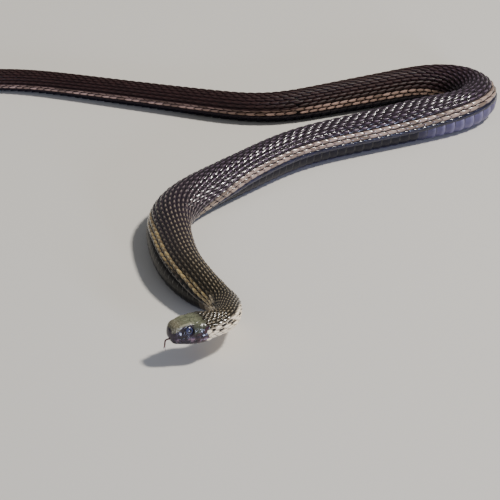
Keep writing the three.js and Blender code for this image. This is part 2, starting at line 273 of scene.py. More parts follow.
def ink(code):
    """A colour from its web code, as light."""
    channels = [int(code[index:index + 2], 16) / 255 for index in (0, 2, 4)]
    light = [c / 12.92 if c <= 0.04045 else ((c + 0.055) / 1.055) ** 2.4 for c in channels]
    return (*light, 1.0)


class Wire:
    """A node's output that can be added, taken away, multiplied and compared."""

    def __init__(self, paint, socket):
        self.paint = paint
        self.socket = socket

    def maths(self, operation, *others):
        return self.paint.node("ShaderNodeMath", {"operation": operation}, [self, *others])

    def __rsub__(self, other):
        return self.paint.node("ShaderNodeMath", {"operation": "SUBTRACT"}, [other, self])

    def rise(self, low, high):
        """0 under the low value, 1 over the high one, and smooth between."""
        sockets = {"Value": self, "From Min": low, "From Max": high}
        return self.paint.node("ShaderNodeMapRange", {"interpolation_type": "SMOOTHSTEP"}, sockets)

    def between(self, low, high, edge):
        return self.rise(low - edge, low + edge) * (1 - self.rise(high - edge, high + edge))


OPERATIONS = {
    "__add__": "ADD", "__radd__": "ADD", "__sub__": "SUBTRACT", "__mul__": "MULTIPLY",
    "__rmul__": "MULTIPLY", "__gt__": "GREATER_THAN", "__lt__": "LESS_THAN", "most": "MAXIMUM",
}
for sign, operation in OPERATIONS.items():
    setattr(Wire, sign, functools.partialmethod(Wire.maths, operation))


class Paint:
    """A material's nodes, made one by one with their settings and sockets."""

    def __init__(self, name):
        self.material = bpy.data.materials.new(name)
        self.material.use_nodes = True
        self.tree = self.material.node_tree
        self.shader = self.tree.nodes["Principled BSDF"]

    def node(self, kind, settings=None, sockets=None, output=0):
        made = self.tree.nodes.new(kind)
        for key, value in (settings or {}).items():
            setattr(made, key, value)
        pairs = sockets.items() if isinstance(sockets, dict) else enumerate(sockets or [])
        for key, value in pairs:
            self.join(made.inputs[key], value)
        return Wire(self, made.outputs[output])

    def join(self, socket, value):
        """Feed a socket from a wire, or set it to a number or to the colour of a web code."""
        if isinstance(value, Wire):
            self.tree.links.new(value.socket, socket)
        else:
            socket.default_value = ink(value) if isinstance(value, str) else value

    def attributes(self, *names):
        """A wire for each value that the mesh's points carry."""
        kind = "ShaderNodeAttribute"
        return [self.node(kind, {"attribute_name": name}, output="Fac") for name in names]

    def mix(self, share, first, second):
        """A blend of two colours."""
        sockets = dict(zip(MIX_SOCKETS, (share, first, second)))
        return self.node("ShaderNodeMix", {"data_type": "RGBA"}, sockets, MIX_RESULT)

    def over(self, colour, *layers):
        """A colour with others laid over it, each a pair of its share and its colour."""
        for share, layer in layers:
            colour = self.mix(share, colour, layer)
        return colour

    def noise(self, scale, detail=3.0, roughness=0.5):
        place = self.node("ShaderNodeTexCoord", output="Object")
        sockets = {"Vector": place, "Scale": scale, "Detail": detail, "Roughness": roughness}
        return self.node("ShaderNodeTexNoise", None, sockets)

    def finish(self, **sockets):
        for key, value in sockets.items():
            self.join(self.shader.inputs[key.replace("_", " ")], value)
        return self.material


print("black ink is", ink("000000"))

# %% [markdown]
# ## The snake's colours
# Skin and scales share one recipe. The back is a near-black brown with pale keels, a tan stripe runs along
# each side, the flank under it is blue-black, the belly is lavender grey, and low on the neck the scales
# are cream with black spots. The belly's sides away from the hairpin bend, the whole belly at the front and
# the skin under the scales are darkened with painted shade. The head is olive grey on top and plum on its
# jaws, with mauve patches on the lips. Behind the eye the olive comes down to a slanting dark line. Angles
# are in degrees from mid back.

# %% Mix the colours
# Colours of the body's front, middle and hind part, where the front ends and where the hind part starts
ZONES = {
    "back": (("28200f", "291c25", "301e1d"), (60, 150), (330, 400)),
    "keel": (("bcab8b", "8c788c", "4d3c39"), (110, 190), (330, 400)),
    "stripe": (("a28c5f", "a48d7e", "b8998d"), (110, 210), (350, 420)),
}
# Some of these inks are painted shade: the dark plate colours outside the bend and at the front, and the
# colour under the scales
INKS = Named(
    back_shade="0d090b", scale_edge="0c0809", stripe_shade="4f4034", stripe_keel="e0cf9d",
    flank="171525", flank_light="2a2a42", front_flank="15100c", front_flank_keel="7b6a5a",
    hind_flank="21181f", plate="5d5874", plate_shade="453f58", plate_rim="8a84a0",
    plate_dusk="0e0c14", front_plate="120e0b", cream="fdeccb", cream_shade="d2bb9b",
    cream_edge="33271f", spot="120d0b", under_scales="070506",
)
# How much of its second colour a scale can take by chance
SHADES = Named(back=0.4, flank=0.6, stripe=0.7, plate=0.6, cream=0.5)
# How strongly the keels show, and how much less behind the front part and on its sides
KEELS = Named(back=0.85, fainter=0.25, plainer=0.6, stripe=0.6, front_flank=0.5, plate=0.6)
PLAIN_SIDES = (50, 72)
FRONT_KEELS_END = (110, 160)
STRIPE_TOP = (91, 95)
STRIPE_FOOT = (110, 114)
STRIPE_DROP = Named(angle=12.0, start=(55, 105), end=(125, 175))
FLANK_TOP = (115, 117)
FRONT_FLANK_END = (90, 160)
HIND_FLANK_START = (340, 400)
BELLY_TOP = (129, 131)
# Painted shade: away from the hairpin bend the plates' sides are darkened, and at the front the whole belly
# is nearly black
PALE_BELLY = Named(reach=(302, 372, 9), middle=(164, 178), dusk=0.97)
FRONT_BELLY = Named(end=(120, 200), share=0.93)
CREAM_TOP = (68, 73)
CREAM_END = (44, 62)
SPOTS = Named(pace=0.17, second_row=89, last_row=103, share=0.34, spread=0.16)


def zoned(paint, place, key):
    """A colour that changes from the front to the middle and from the middle to the hind part."""
    (front, middle, hind), front_end, hind_start = ZONES[key]
    return paint.over(front, (place.rise(*front_end), middle), (place.rise(*hind_start), hind))


def back_paint(paint, place, turn, keel, heart, chance):
    plain = turn.rise(*PLAIN_SIDES) * (1 - place.rise(*FRONT_KEELS_END))
    share = KEELS.back - KEELS.fainter * place.rise(*ZONES["keel"][1]) - KEELS.plainer * plain
    back = paint.over(
        zoned(paint, place, "back"),
        (chance * SHADES.back, INKS.back_shade),
        (keel * share, zoned(paint, place, "keel")),
    )
    return paint.mix(heart.rise(0.0, 0.35), INKS.scale_edge, back)


def flank_paint(paint, place, keel, chance):
    front = paint.mix(keel * KEELS.front_flank, INKS.front_flank, INKS.front_flank_keel)
    return paint.over(
        INKS.flank,
        (chance * SHADES.flank, INKS.flank_light),
        (1 - place.rise(*FRONT_FLANK_END), front),
        (place.rise(*HIND_FLANK_START), INKS.hind_flank),
    )


def stripe_paint(paint, place, keel, chance):
    return paint.over(
        zoned(paint, place, "stripe"),
        (chance.rise(0.3, 1.0) * SHADES.stripe, INKS.stripe_shade),
        (keel * KEELS.stripe * (1 - place.rise(*FRONT_KEELS_END)), INKS.stripe_keel),
    )


def belly_paint(paint, place, turn, keel, chance):
    """Lavender in the bend and along the middle; elsewhere and at the front, darkened with painted shade.
    """
    dusk = (1 - turn.rise(*PALE_BELLY.middle)) * (1 - place.between(*PALE_BELLY.reach))
    return paint.over(
        INKS.plate,
        (chance * SHADES.plate, INKS.plate_shade),
        (keel * KEELS.plate, INKS.plate_rim),
        (dusk * PALE_BELLY.dusk, INKS.plate_dusk),
        ((1 - place.rise(*FRONT_BELLY.end)) * FRONT_BELLY.share, INKS.front_plate),
    )


def cream_paint(paint, place, turn, heart, chance):
    """Cream scales, every second or third of them with a black spot in its middle."""
    beat = (SPOTS.pace * place + 0.5 * (turn > SPOTS.second_row)).maths("FRACT")
    spotted = (beat < SPOTS.share + SPOTS.spread * chance) * (turn < SPOTS.last_row)
    cream = paint.over(
        INKS.cream,
        (chance * SHADES.cream, INKS.cream_shade),
        (spotted * heart.rise(0.5, 0.75), INKS.spot),
    )
    return paint.mix(heart.rise(0.0, 0.5), INKS.cream_edge, cream)


def markings(paint, place, turn, keel, heart, chance):
    """Colour of the body: place along, angle from mid back, keel, middle of the scale and chance."""
    drop = STRIPE_DROP.angle * place.rise(*STRIPE_DROP.start) * (1 - place.rise(*STRIPE_DROP.end))
    height = turn - drop
    in_stripe = height.rise(*STRIPE_TOP) * (1 - height.rise(*STRIPE_FOOT)) * heart.rise(0.25, 0.9)
    in_cream = turn.rise(*CREAM_TOP) * (1 - place.rise(*CREAM_END))
    return paint.over(
        back_paint(paint, place, turn, keel, heart, chance),
        (height.rise(*FLANK_TOP), flank_paint(paint, place, keel, chance)),
        (in_stripe, stripe_paint(paint, place, keel, chance)),
        (turn.rise(*BELLY_TOP), belly_paint(paint, place, turn, keel, chance)),
        (in_cream, cream_paint(paint, place, turn, heart, chance)),
    )


# %% Mix the colours of the head
HEAD = Named(
    crown="52563f", crown_light="787960", snout="57523f", snout_light="877f68",
    speck="a0a189", nape="2f281d", jaw="160e1a", jaw_light="2c1d30", jaw_hind="402529",
    blush="a3838f", temple="2f3027", temple_line="120d10", chin="7a6c66", brow="a5a088",
    seam="0d0a09", pale_seam="8f8a72",
)
SHARES = Named(speck=0.4, blush=0.55, temple=0.7, line=3.2, brow=0.75, seam=0.7, pale=0.6)
# Scale, detail and roughness of each noise
MOTTLE = (520.0, 5.0, 0.65)
SPECKLE = (1500.0, 3.0, 0.6)
BLUSH = (330.0, 3.0, 0.5)
SNOUT_END = (2, 9)
NAPE_START = (12, 18)
JAW_HIND_START = (8, 13)
LIP_BAND = (-4.4, -0.7, 0.4)
SIDE_TOP = Named(angle=(48, 52), wave=16.0, snout=16.0, snout_end=(2, 6), brow=6.0)
BROW_REACH = (5, 12, 2)
ROSTRAL_END = (0.7, 1.15)
TEMPLE = Named(slope=0.6, edge=(-5.7, -5.1), start=(9.4, 10.4))
CHIN = Named(angle=(140, 158), level=(-3.6, -3.2))
PALE_SEAMS_END = (6, 9)


def crown_paint(paint, place, mottle):
    speckle = paint.noise(*SPECKLE)
    return paint.over(
        HEAD.crown,
        (mottle.rise(0.3, 0.7), HEAD.crown_light),
        (1 - place.rise(*SNOUT_END), paint.mix(speckle.rise(0.35, 0.65), HEAD.snout, HEAD.snout_light)),
        (speckle.rise(0.5, 0.7) * SHARES.speck, HEAD.speck),
        (place.rise(*NAPE_START), HEAD.nape),
    )


def jaw_paint(paint, place, level, mottle):
    blush = paint.noise(*BLUSH).rise(0.5, 0.62) * level.between(*LIP_BAND)
    return paint.over(
        HEAD.jaw,
        (mottle.rise(0.35, 0.65), HEAD.jaw_light),
        (place.rise(*JAW_HIND_START) * mottle.rise(0.4, 0.6), HEAD.jaw_hind),
        (blush * SHARES.blush, HEAD.blush),
    )


def shields(paint, place, turn, level, seam, brow):
    """Colour of the head, from the place, the angle, the height over the centre line and the relief."""
    mottle = paint.noise(*MOTTLE)
    edge = turn + SIDE_TOP.wave * (mottle - 0.5)
    edge = edge - SIDE_TOP.snout * (1 - place.rise(*SIDE_TOP.snout_end))
    edge = edge + SIDE_TOP.brow * place.between(*BROW_REACH)
    beside = edge.rise(*SIDE_TOP.angle)
    temple = (level - TEMPLE.slope * place + mottle).rise(*TEMPLE.edge) * place.rise(*TEMPLE.start)
    side = beside.most(1 - place.rise(*ROSTRAL_END)) * (1 - temple)
    return paint.over(
        crown_paint(paint, place, mottle),
        (side, jaw_paint(paint, place, level, mottle)),
        (SHARES.temple * temple * beside, HEAD.temple),
        (SHARES.line * temple * (1 - temple) * beside, HEAD.temple_line),
        (turn.rise(*CHIN.angle) * (1 - level.rise(*CHIN.level)), HEAD.chin),
        (SHARES.brow * brow, HEAD.brow),
        # Dark seams, with painted shade in the mouth line, tongue notch, nostrils and eye sockets
        (SHARES.seam * seam, HEAD.seam),
        (SHARES.pale * seam * (1 - side) * (1 - place.rise(*PALE_SEAMS_END)), HEAD.pale_seam),
    )


# %% Mix the finish
FILM_DRIES = (325, 380)
DRY_ROUGHNESS = 0.2
DRY_SHINE = 0.4
PATCHY_ROUGHNESS = 0.12
PATCH_SCALE = 650.0
GRAIN = (4.0, 0.6)
RIPPLE = (900.0, 2.0, 0.5)
BUMP = {"Strength": 0.2, "Distance": 0.0001}
FILM_ROUGHNESS = 0.1
# Roughness, wet film, shine, scale of the grain and height of the ripples
SKIN_FINISH = (0.19, 0.4, 0.3, 2600.0, 14.0)
SCALE_FINISH = (0.17, 0.45, 0.4, 2200.0, 0.0)
PLATE_FINISH = (0.34, 0.05, 0.2, 2200.0, 0.0)
SCALES_COVER = (20, 24)
# Painted shade: the skin under the scale coat is darkened towards near black by this share
UNDER_SCALES_SHADE_SHARE = 0.6
BARE_SKIN_PATCHES = 160.0
HEAD_ENDS = (17.5, 19.5)


def wet(paint, colour, finish):
    """Fine grain and ripples in the finish, under a wet film that dries off behind the hairpin bend."""
    rough, film, shine, grain, ripple = finish
    place, = paint.attributes("place")
    dry = place.rise(*FILM_DRIES)
    height = paint.noise(grain, *GRAIN) + ripple * paint.noise(*RIPPLE)
    bump = paint.node("ShaderNodeBump", None, {**BUMP, "Height": height})
    return paint.finish(
        Base_Color=colour, Normal=bump, Coat_Weight=film * (1 - dry), Coat_Roughness=FILM_ROUGHNESS,
        Roughness=rough + PATCHY_ROUGHNESS * paint.noise(PATCH_SCALE) + DRY_ROUGHNESS * dry,
        Specular_IOR_Level=shine * (1 - (1 - DRY_SHINE) * dry),
    )


def skin_paint():
    paint = Paint("snake_skin")
    place, turn, *relief = paint.attributes("place", "turn", "level", "seam", "brow")
    head = shields(paint, place, turn, *relief)
    covered = place.rise(*SCALES_COVER)
    body = markings(paint, place, turn, 0.0 * place, 1 - covered, paint.noise(BARE_SKIN_PATCHES))
    # Painted shade on the skin under the scales
    body = paint.mix(covered * UNDER_SCALES_SHADE_SHARE, body, INKS.under_scales)
    return wet(paint, paint.mix(place.rise(*HEAD_ENDS), head, body), SKIN_FINISH)


def scale_paint(name, finish):
    paint = Paint(name)
    marks = paint.attributes("place", "turn", "keel", "heart", "chance")
    return wet(paint, markings(paint, *marks), finish)


print("zoned colours:", list(ZONES))

# %% [markdown]
# ## The shields of the head
# A garter snake's head is covered by a few large shields that meet in fine grooves. They could be cut as
# separate plates, but on the animal they are one skin, so the grooves are drawn as lines on the map of the
# head and pressed into a dense mesh. Lines on top are given as places and distances from the middle, lines
# on the side as places and heights over the centre line, and lines under the chin as on top.

# %% Lines of the head
TOP_SEAMS = {
    "rostral": [(0.9, 0), (1.5, 1.5), (1.3, 2.6)],
    "middle of the snout": [(0.9, 0), (5.2, 0)],
    "behind the internasals": [(2.9, 0), (2.7, 2.6), (2.2, 3.4)],
    "front of the frontal": [(5.2, 0), (5.0, 1.4), (5.4, 3.0), (5.1, 4.2)],
    "side of the frontal": [(5.0, 1.4), (9.7, 1.8), (11.0, 0)],
    "behind the brow shield": [(9.7, 1.8), (10.1, 4.2)],
    "middle of the parietals": [(11.0, 0), (16.4, 0)],
    "edge of the parietals": [(10.1, 4.2), (12.6, 4.9), (15.4, 3.5), (17.2, 1.3), (16.4, 0)],
}
BROW_LINE = [(5.1, 3.8), (7.4, 4.4), (10.1, 4.1)]
SIDE_SEAMS = {
    "top of the lip shields": [(1.4, -0.7), (3.2, -0.9), (5.6, -0.8), (6.6, -0.4), (9.8, -0.4),
                               (12.0, -0.2), (14.5, 0.7), (17.2, 1.1)],
    "behind the nasal": [(3.1, -0.9), (3.0, 2.9)],
    "behind the lore": [(4.9, -0.8), (4.8, 3.2)],
    "behind the eye": [(10.3, 3.6), (11.1, 2.2), (10.9, 0.8), (10.3, -0.3)],
    "postoculars, high": [(10.1, 2.3), (11.1, 2.2)],
    "postoculars, low": [(10.1, 0.9), (10.9, 0.8)],
    "first temporal": [(11.1, 2.0), (13.9, 2.1), (14.2, 0.6)],
    "behind the temporals": [(13.9, 2.1), (14.3, 4.2)],
    "second temporal": [(14.0, 1.6), (17.0, 2.2)],
    "foot of the lower lip": [(1.2, -4.2), (4, -5.0), (8.5, -5.0), (13, -4.3), (17, -3.2)],
}
LIP_SEAMS = (1.5, 2.9, 4.4, 6.1, 8.1, 10.3, 12.6, 15.0)
CHIN_SEAMS = {
    "middle of the chin": [(1.4, 0), (10.5, 0)],
    "chin shields, side": [(1.8, 0.9), (5.8, 2.1), (10.5, 2.4)],
    "between chin shields": [(5.6, 0), (6.0, 2.1)],
    "behind the chin shields": [(10.5, 0), (10.5, 2.4)],
}
SEAM_WIDTH = 0.13
SEAM_DEPTH = 0.17
SHIELD_WIDTH = 0.6
SHIELD_SAG = 0.05
GULAR = Named(along=2.0, across=2.5, width=0.1)
UPPER_LIP = Named(height=2.0, more=0.25, more_from=6)
LOWER_LIP = Named(start=0.5, end=0.7, depth=2.1)
BROW_WIDTH = 0.5
# The angles where the top, the side and the chin of the head begin and end
TOP_END = (46, 54)
SIDE_REACH = ((36, 44), (138, 150))
EYE_REACH = ((28, 40), (100, 110))
CHIN_START = (138, 148)
THROAT = Named(reach=((9.6, 10.6), (20.0, 21.0)), start=(118, 128))
RELIEF_END = (18.0, 19.5)
# Pits in the skin, with their sizes and depths; the pits are also darkened with painted shade
GAPE = Named(width=0.22, fade=(-0.4, 0.2), depth=0.42)
NOTCH = Named(width=0.75, height=0.55, end=(1.2, 2.2), depth=0.6)
NOSTRIL = Named(at=1.75, angle=58, along=0.34, around=5.5, depth=0.7)
SOCKET = Named(up=0.3, edge=(1.7, 2.0), depth=1.15)
RIM = Named(radius=2.3, width=0.25, height=0.16)


def band(value, start, end):
    """1 from the start's rise to the end's fall, and 0 elsewhere."""
    return smooth(value, *start) * (1 - smooth(value, *end))


def nearness(x, y, line, width):
    """How near points lie to a line of straight stretches, from 0 to 1."""
    nearest = np.full_like(x, 1e3)
    for (ax, ay), (bx, by) in zip(line[:-1], line[1:]):
        length = (bx - ax) ** 2 + (by - ay) ** 2
        t = np.clip(((x - ax) * (bx - ax) + (y - ay) * (by - ay)) / length, 0, 1)
        nearest = np.minimum(nearest, np.hypot(x - ax - t * (bx - ax), y - ay - t * (by - ay)))
    return bell(nearest / width)


def groove(x, y, lines):
    """Closeness to some lines, narrow for the seams' grooves and wide for the shields' rounded edges."""
    narrow = np.zeros_like(x)
    wide = np.zeros_like(x)
    for line in lines:
        narrow = np.maximum(narrow, nearness(x, y, line, SEAM_WIDTH))
        wide = np.maximum(wide, nearness(x, y, line, SHIELD_WIDTH))
    return np.stack([narrow, wide])


def lattice(place, across):
    """Two slanting families of lines, which part the small scales of the throat."""
    total = np.zeros_like(place)
    for side in (-1, 1):
        steps_on = place / GULAR.along + side * across / GULAR.across
        total = np.maximum(total, bell((np.abs((steps_on % 1) - 0.5) - 0.5) / GULAR.width))
    return total


def lip_seams():
    """The upright seams of the lips, drawn up and down from the mouth line."""
    lines = []
    for at in LIP_SEAMS:
        middle = float(through(MOUTH_LINE, np.array(at)))
        high = UPPER_LIP.height + UPPER_LIP.more * (at > UPPER_LIP.more_from)
        lines.append([(at, middle), (at, middle + high)])
        foot = (at + LOWER_LIP.end, middle - LOWER_LIP.depth)
        lines.append([(at + LOWER_LIP.start, middle), foot])
    return lines


def head_relief(place, around):
    """Lift, dark seams with painted shade in the pits, brow and height of the head's skin at each point of
    the map.
    """
    radius, sine, cosine = section(place, around)
    across = radius * np.abs(sine)
    level = radius * cosine
    angle = turn_of(around)
    on_top = 1 - smooth(angle, *TOP_END)
    top = on_top * groove(place, across, TOP_SEAMS.values())
    side = band(angle, *SIDE_REACH) * groove(place, level, [*SIDE_SEAMS.values(), *lip_seams()])
    chin = smooth(angle, *CHIN_START) * groove(place, across, CHIN_SEAMS.values())
    throat = band(place, *THROAT.reach) * smooth(angle, *THROAT.start)
    throat = throat * lattice(place, across * np.sign(around))
    seam, rounding = [np.maximum(lines, throat) for lines in np.maximum.reduce([top, side, chin])]
    off_mouth = level - through(MOUTH_LINE, place)
    gape = bell(off_mouth / GAPE.width) * (1 - smooth(place - MOUTH_CORNER, *GAPE.fade))
    notch = bell(across / NOTCH.width) * bell(off_mouth / NOTCH.height)
    notch = notch * (1 - smooth(place, *NOTCH.end))
    nostril = bell((place - NOSTRIL.at) / NOSTRIL.along)
    nostril = nostril * bell((angle - NOSTRIL.angle) / NOSTRIL.around)
    off_eye = np.hypot(place - EYE.at, level - EYE.up - SOCKET.up)
    round_eye = band(angle, *EYE_REACH)
    socket = (1 - smooth(off_eye, *SOCKET.edge)) * round_eye
    rim = bell((off_eye - RIM.radius) / RIM.width) * round_eye
    brow = on_top * nearness(place, across, BROW_LINE, BROW_WIDTH)
    lift = RIM.height * rim - (SEAM_DEPTH * seam + SHIELD_SAG * rounding) * (1 - socket)
    for pit, shape in ((gape, GAPE), (notch, NOTCH), (nostril, NOSTRIL), (socket, SOCKET)):
        lift = lift - shape.depth * pit
    head = 1 - smooth(place, *RELIEF_END)
    # The seams are dark joints; the mouth line, tongue notch, nostrils and eye sockets are darkened as
    # painted shade
    seams_and_pit_shade = np.maximum.reduce([seam, gape, notch, nostril, socket])
    return lift * head, seams_and_pit_shade * head, brow * head, level


print("seams across the lips:", 2 * len(LIP_SEAMS))

# %% [markdown]
# ## One skin
# The skin is a single sheet: a flat grid is rolled up round the route, its two long edges are merged along
# the belly, and its first row closes to a point at the snout. It lies a little inside the solids, so that
# the scales can stand on it, and it is dense on the head, where it has to hold every groove. Its map for
# baking is the grid itself, with more room for the head.

# %% Lay the skin
SKIN_COLUMNS = 144
HEAD_ROWS = 130
BODY_ROW = 1.9
HEAD_SKIN_END = 21.0
HEAD_ROWS_CROWD = 1.25
TIP_PLACE = LENGTH - 0.1
SPINE_LENGTH = 3.0
SPINE_THINNED = 0.5
MERGE_DISTANCE = 1e-7
# The map for baking: its margin, its height and the head's share of its width
MAP = Named(margin=0.005, height=0.98, head=0.25)


def map_across(place):
    head = MAP.head * place / HEAD_SKIN_END
    body = MAP.head + (1 - MAP.head) * (place - HEAD_SKIN_END) / (LENGTH - HEAD_SKIN_END)
    return MAP.margin + (1 - 2 * MAP.margin) * np.where(place < HEAD_SKIN_END, head, body)


def map_up(around):
    return 0.5 + MAP.height * around / (2 * np.pi)


def mesh_of(bm, name):
    """A smooth mesh from bmesh's working copy."""
    for face in bm.faces:
        face.smooth = True
    mesh = bpy.data.meshes.new(name)
    bm.to_mesh(mesh)
    bm.free()
    return mesh


def add_object(name, data):
    thing = bpy.data.objects.new(name, data)
    bpy.context.scene.collection.objects.link(thing)
    return thing


def new_piece(name, mesh, material, nodes):
    piece = add_object(name, mesh)
    mesh.materials.append(material)
    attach(piece, "root")
    if nodes:
        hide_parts(*nodes)
    print(name, len(mesh.polygons), "faces")


def skin_mesh():
    head_rows = HEAD_SKIN_END * np.linspace(0, 1, HEAD_ROWS + 1) ** HEAD_ROWS_CROWD
    body_count = int((TIP_PLACE - HEAD_SKIN_END) / BODY_ROW)
    body_rows = np.linspace(HEAD_SKIN_END, TIP_PLACE, body_count + 1)[1:]
    rows = np.concatenate([head_rows, body_rows])
    bm = bmesh.new()
    bmesh.ops.create_grid(bm, x_segments=SKIN_COLUMNS, y_segments=len(rows) - 1, size=1)
    flat = np.array([vertex.co[:2] for vertex in bm.verts])
    row = np.round((flat[:, 1] + 1) / 2 * (len(rows) - 1)).astype(int)
    place = rows[row]
    around = flat[:, 0] * np.pi
    lift, seams_and_pit_shade, brow, level = head_relief(place, around)
    spine = np.clip((place - TIP_PLACE + SPINE_LENGTH) / SPINE_LENGTH, 0, 1)
    taper = SPINE_THINNED * spine**2 * section(place, around)[0]
    points = outside(place, around, lift - np.where(spine > 0, taper, skin_sink(place)))
    # The seam value holds the dark seams and the painted shade of the head's pits
    values = {"place": place, "turn": turn_of(around), "seam": seams_and_pit_shade, "brow": brow, "level": level}
    layers = {name: bm.verts.layers.float.new(name) for name in values}
    uv = bm.loops.layers.uv.new("OFBake")
    across = map_across(place)
    up = map_up(around)
    bm.verts.ensure_lookup_table()
    for face in bm.faces:
        for loop in face.loops:
            loop[uv].uv = (across[loop.vert.index], up[loop.vert.index])
    for index, vertex in enumerate(bm.verts):
        for name, layer in layers.items():
            vertex[layer] = values[name][index]
        vertex.co = points[index]
    bmesh.ops.remove_doubles(bm, verts=bm.verts, dist=MERGE_DISTANCE)
    ends = [edge for edge in bm.edges if edge.is_boundary]
    bmesh.ops.holes_fill(bm, edges=ends)
    bmesh.ops.recalc_face_normals(bm, faces=bm.faces)
    return mesh_of(bm, "skin")


BODY_NODES = ["neck"] + [f"body_{number}" for number in range(1, 9)] + ["tail_base", "tail_tip"]
new_piece("skin", skin_mesh(), skin_paint(), ["head", "lower_jaw"] + BODY_NODES)

# %% [markdown]
# ## How scales are set out
# The scales of the back stand in slanting rows, one scale to each belly plate in every row, and each row
# is half a step ahead of the next. The step is about 4.8 mm in mid body and shrinks towards both ends, and
# the tail has fewer rows. Counting steps from the head gives every scale its place.

# %% Steps along the body
STEP = [
    (16, 2.0), (24, 2.6), (40, 3.3), (80, 3.9), (150, 4.3), (300, 4.8), (400, 4.5), (520, 3.9),
    (680, 3.2), (780, 2.3), (870, 1.3),
]
SCALES_START = 16.7
BELLY_HALF_ANGLE = 50.0
VENT = 680.0
# Rows of scales round the back from each place on
ROWS = [(0, 19), (450, 17), (VENT, 13), (712, 11), (748, 9), (790, 7), (835, 5)]
COUNT_STEP = 0.1
SEED = 11

count_places = np.arange(SCALES_START, LENGTH, COUNT_STEP)
count = np.insert(np.cumsum(COUNT_STEP / through(STEP, count_places)), 0, 0)[:-1]
chance_of = np.random.default_rng(SEED)


def place_of(number):
    return np.interp(number, count, count_places)


def first_number(place):
    return math.ceil(np.interp(place, count_places, count))


print("steps from head to tail tip:", round(float(count[-1])))

# %% [markdown]
# ## A keeled scale
# One scale is modelled flat and large: a grid narrowed to a leaf, domed, with a keel along its middle, its
# rim turned down into the skin and its hind tip standing proud over the next one. It is copied thousands
# of times as arrays of numbers, rolled onto the body and joined into a few meshes.

# %% Model one scale and copy it
SCALE_COLUMNS = (-1.0, -0.84, -0.5, -0.18, 0.0, 0.18, 0.5, 0.84, 1.0)
SCALE_ROWS = (0.0, 0.22, 0.45, 0.68, 0.86, 0.97, 1.0)
# Each copy has a small patch of its own on the map for baking
MAP_PATCH = 0.003


def leaf(columns, rows, width_at):
    """A flat leaf: places across, to the side and along of its points, which are its rim, and its faces."""
    bm = bmesh.new()
    bmesh.ops.create_grid(bm, x_segments=len(columns) - 1, y_segments=len(rows) - 1, size=1)
    flat = (np.array([vertex.co[:2] for vertex in bm.verts]) + 1) / 2
    across = np.array(columns)[np.round(flat[:, 0] * (len(columns) - 1)).astype(int)]
    along = np.array(rows)[np.round(flat[:, 1] * (len(rows) - 1)).astype(int)]
    rim = (np.abs(across) == 1) | (along == 0) | (along == 1)
    faces = np.array([[vertex.index for vertex in face.verts] for face in bm.faces])
    bm.free()
    return across, across * width_at(along), along, rim, faces


def spread(values):
    """Each copy's values as shares of their range, from minus a half to a half."""
    return (values - values.min(1, keepdims=True)) / np.ptp(values, axis=1)[:, None] - 0.5


def copies(name, faces, points, roots, values, material):
    """Join many rolled copies of one leaf into a piece. The arrays hold one row for each copy."""
    place, around, lift = points
    root_place, root_around = roots
    total, size = place.shape
    values = {"place": root_place[:, None], **values, "chance": chance_of.random(total)[:, None]}
    rolled = outside(place.ravel(), around.ravel(), lift.ravel())
    every_face = (faces[None, :, :] + size * np.arange(total)[:, None, None]).reshape(-1, 4)
    mesh = bpy.data.meshes.new(name)
    mesh.vertices.add(total * size)
    mesh.vertices.foreach_set("co", rolled.astype(np.float32).ravel())
    mesh.loops.add(every_face.size)
    mesh.loops.foreach_set("vertex_index", every_face.astype(np.int32).ravel())
    mesh.polygons.add(len(every_face))
    mesh.polygons.foreach_set("loop_start", np.arange(0, every_face.size, 4, dtype=np.int32))
    mesh.polygons.foreach_set("use_smooth", np.ones(len(every_face), dtype=bool))
    mesh.update(calc_edges=True)
    mesh.validate()
    for key, value in values.items():
        layer = mesh.attributes.new(key, "FLOAT", "POINT")
        layer.data.foreach_set("value", np.broadcast_to(value, place.shape).astype(np.float32).ravel())
    across = map_across(root_place)[:, None] + MAP_PATCH * spread(place)
    up = map_up(root_around)[:, None] + MAP_PATCH * spread(around)
    uv = mesh.uv_layers.new(name="OFBake")
    flat_uv = np.stack([across.ravel(), up.ravel()], -1)[every_face.ravel()]
    uv.data.foreach_set("uv", flat_uv.astype(np.float32).ravel())
    new_piece(name, mesh, material, [])


def scale_width(along):
    return np.sin(np.pi * np.clip(0.2 + 0.8 * along, 0, 1)) ** 0.55 * (1 - 0.12 * along)


scale_across, scale_side, scale_along, scale_rim, scale_faces = leaf(SCALE_COLUMNS, SCALE_ROWS, scale_width)
print("one scale has", len(scale_faces), "faces")

# %% Set the scales of the back
SCALE = Named(
    length=1.42, varies=0.06, root=0.45, overlap=1.2, thickness=0.11, depth=0.22,
    rim=-0.45, turns=0.55,
)
LOW_ROWS = Named(start=(105, 122), thinner=0.25, less_keeled=0.8)
SLOPE = Named(start=-0.8, rise=1.6, tip=0.3, tip_start=0.7)
DOME = Named(height=0.75, flatter=0.3)
KEEL = Named(height=0.34, less=0.16, less_from=(100, 200), width=0.16, start=(0.2, 0.5))
# The part of the keel that is drawn, and the middle of the scale, inside its dark edge
KEEL_MARK = Named(width=0.3, reach=((0.55, 0.7), (0.85, 0.96)))
HEART = Named(across=(0.6, 0.95), along=(0.78, 0.95))
COAT_END = LENGTH - 0.5


def scale_roots(start, end):
    """Number along, angle round and angle between rows of each scale from one place to another."""
    roots = []
    for (first, rows), (last, _) in zip(ROWS, ROWS[1:] + [(LENGTH, 0)]):
        low = max(first, start, SCALES_START)
        high = min(last, end, LENGTH - SPINE_LENGTH)
        if low >= high:
            continue
        between = math.radians(360 - 2 * BELLY_HALF_ANGLE) / rows
        numbers = range(first_number(low), first_number(high))
        for row in range(rows):
            middle = (row - (rows - 1) / 2) * between
            shift = 0.5 * ((row - (rows - 1) // 2) % 2)
            roots += [(number + shift, middle, between) for number in numbers]
    return np.array(roots)


